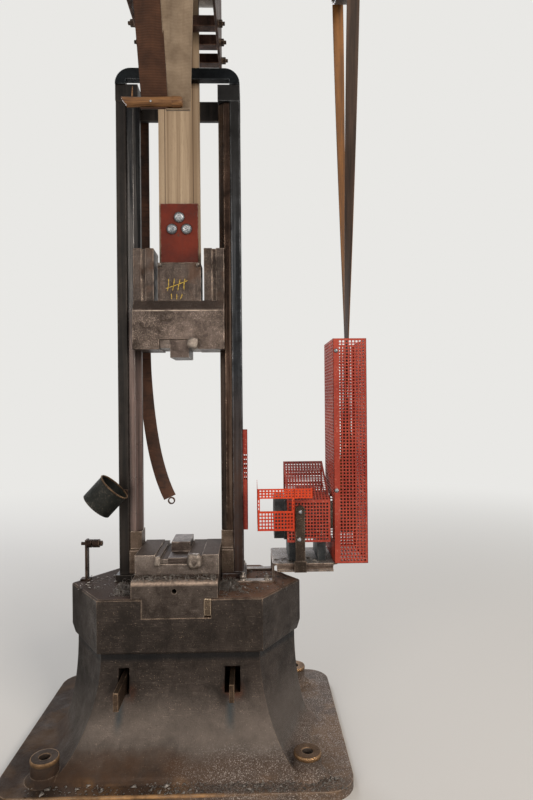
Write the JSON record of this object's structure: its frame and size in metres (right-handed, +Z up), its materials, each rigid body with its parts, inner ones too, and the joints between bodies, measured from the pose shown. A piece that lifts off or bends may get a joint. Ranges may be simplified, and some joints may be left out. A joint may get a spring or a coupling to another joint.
{
  "type": "board drop hammer",
  "caption": "Board drop hammer with anvil base, two guide columns, a ram on a lifting board, a friction roll box above and a guarded motor drive at the side.",
  "frame": {"origin": "middle of the underside of the base plate, on the floor", "axes": "+Z up along the columns, +X to the right of the smith, towards the motor, +Y away from the smith's front"},
  "size_m": [1.675, 1.06, 4.774],
  "materials": {
    "dark_casting": "rough",
    "worn_steel": "worn",
    "die_steel": "worn",
    "column_steel": "worn",
    "guide_steel": "worn",
    "motor_paint": "satin",
    "guard_paint": "satin",
    "clamp_paint": "worn",
    "can_steel": "worn",
    "beech_board": "matte",
    "bare_wood": "matte",
    "belt_leather": "worn",
    "strap_leather": "worn",
    "brown_webbing": "matte",
    "pale_webbing": "matte"
  },
  "bodies": {
    "frame": {"base_casting": "dark_casting", "sow_block": "worn_steel", "sow_key": "worn_steel", "die_holder": "worn_steel", "lower_die": "die_steel", "lower_die_wedge": "worn_steel", "lower_die_packing": "worn_steel", "cotters": "worn_steel", "left_column": "column_steel", "right_column": "column_steel", "left_guide": "guide_steel", "right_guide": "guide_steel", "guide_feet": "dark_casting", "arch_tie": "guide_steel", "cross_tie": "column_steel", "head_posts": "column_steel", "box_cheeks": "dark_casting", "box_rails": "column_steel", "outboard_arm": "column_steel", "motor_shelf": "worn_steel", "shelf_brackets": "worn_steel", "motor_housing": "motor_paint", "motor_guard": "guard_paint", "fan_guard": "guard_paint", "belt_guard": "guard_paint", "guard_strap": "column_steel", "column_guard": "guard_paint", "lubricant_can": "can_steel", "can_bracket": "column_steel", "tong_rest": "worn_steel", "drive_belt": "belt_leather", "belt_hanger": "column_steel", "brown_belt": "brown_webbing", "pale_belt": "pale_webbing", "belt_stick": "bare_wood", "pull_strap": "strap_leather"},
    "falling_weight": {"ram": "worn_steel", "upper_die": "die_steel", "upper_die_wedge": "worn_steel", "board_clamp": "clamp_paint", "lifting_board": "beech_board"},
    "drive_shaft": {"drive_roll": "guide_steel", "drive_pulley": "guide_steel"},
    "rear_shaft": {"rear_roll": "guide_steel"},
    "motor_rotor": {"motor_pulley": "guide_steel"}
  },
  "joints": [
    {"name": "ram_slide", "type": "slide", "parent": "frame", "child": "falling_weight", "axis": [0, 0, 1], "range_m": [-0.875, 0.55]},
    {"name": "drive_roll_spin", "type": "hinge", "parent": "frame", "child": "drive_shaft", "pos_m": [0, -0.072, 3.8], "axis": [1, 0, 0], "continuous": true},
    {"name": "rear_roll_spin", "type": "hinge", "parent": "frame", "child": "rear_shaft", "pos_m": [0, 0.218, 3.8], "axis": [1, 0, 0], "continuous": true},
    {"name": "motor_spin", "type": "hinge", "parent": "frame", "child": "motor_rotor", "pos_m": [0, 0.062, 1.026], "axis": [1, 0, 0], "continuous": true}
  ],
  "couplings": [
    {"joint": "motor_spin", "follows": "drive_roll_spin", "ratio": -3.3125}
  ]
}
